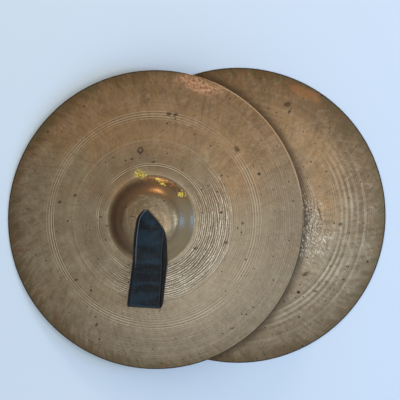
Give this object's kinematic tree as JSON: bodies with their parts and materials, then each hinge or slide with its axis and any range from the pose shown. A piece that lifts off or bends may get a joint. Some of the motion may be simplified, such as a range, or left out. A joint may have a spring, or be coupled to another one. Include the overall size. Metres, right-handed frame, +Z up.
{
  "type": "hand cymbals",
  "caption": "Pair of hammered and lathed bronze clash cymbals with raised bells and black leather hand straps, one lying overlapped on the other.",
  "frame": {"origin": "middle of the pair's footprint, on the surface that both cymbals lie on", "axes": "+Z up from the surface; +X from the front (upper, left) cymbal towards the rear (lower, right) one; both straps point towards -Y"},
  "size_m": [0.52, 0.4122, 0.076],
  "materials": {
    "bronze": "hammered, lathed, aged satin bronze",
    "strap_leather": "worn black harness leather"
  },
  "bodies": {
    "rear_cymbal": {"rear_plate": "bronze"},
    "rear_strap_anchor": {"rear_strap_knot": "strap_leather", "rear_strap_tail_1": "strap_leather", "rear_strap_tail_2": "strap_leather", "rear_strap_tail_3": "strap_leather", "rear_strap_tail_4": "strap_leather"},
    "rear_strap": {"rear_strap_loop": "strap_leather"},
    "front_cymbal": {"front_plate": "bronze"},
    "front_strap_anchor": {"front_strap_knot": "strap_leather", "front_strap_tail_1": "strap_leather", "front_strap_tail_2": "strap_leather", "front_strap_tail_3": "strap_leather", "front_strap_tail_4": "strap_leather"},
    "front_strap": {"front_strap_loop": "strap_leather"}
  },
  "joints": [
    {"name": "front_cymbal_lift", "type": "slide", "parent": "rear_cymbal", "child": "front_cymbal", "axis": [0, 0, 1], "range_m": [0, 0.3]},
    {"name": "front_strap_swivel", "type": "hinge", "parent": "front_cymbal", "child": "front_strap_anchor", "pos_m": [-0.06329, -0.0031, 0.06635], "axis": [-0.1217, -0.006, 0.9925], "continuous": true},
    {"name": "front_strap_swing", "type": "hinge", "parent": "front_strap_anchor", "child": "front_strap", "pos_m": [-0.0638, -0.00313, 0.07052], "axis": [-0.9912, 0.0527, -0.1212], "range_deg": [0, 165]},
    {"name": "rear_strap_swivel", "type": "hinge", "parent": "rear_cymbal", "child": "rear_strap_anchor", "pos_m": [0.05681, 0.00285, 0.0419], "axis": [0, 0, 1], "continuous": true},
    {"name": "rear_strap_swing", "type": "hinge", "parent": "rear_strap_anchor", "child": "rear_strap", "pos_m": [0.05681, 0.00285, 0.0461], "axis": [-0.9976, -0.0698, 0], "range_deg": [0, 3]}
  ]
}
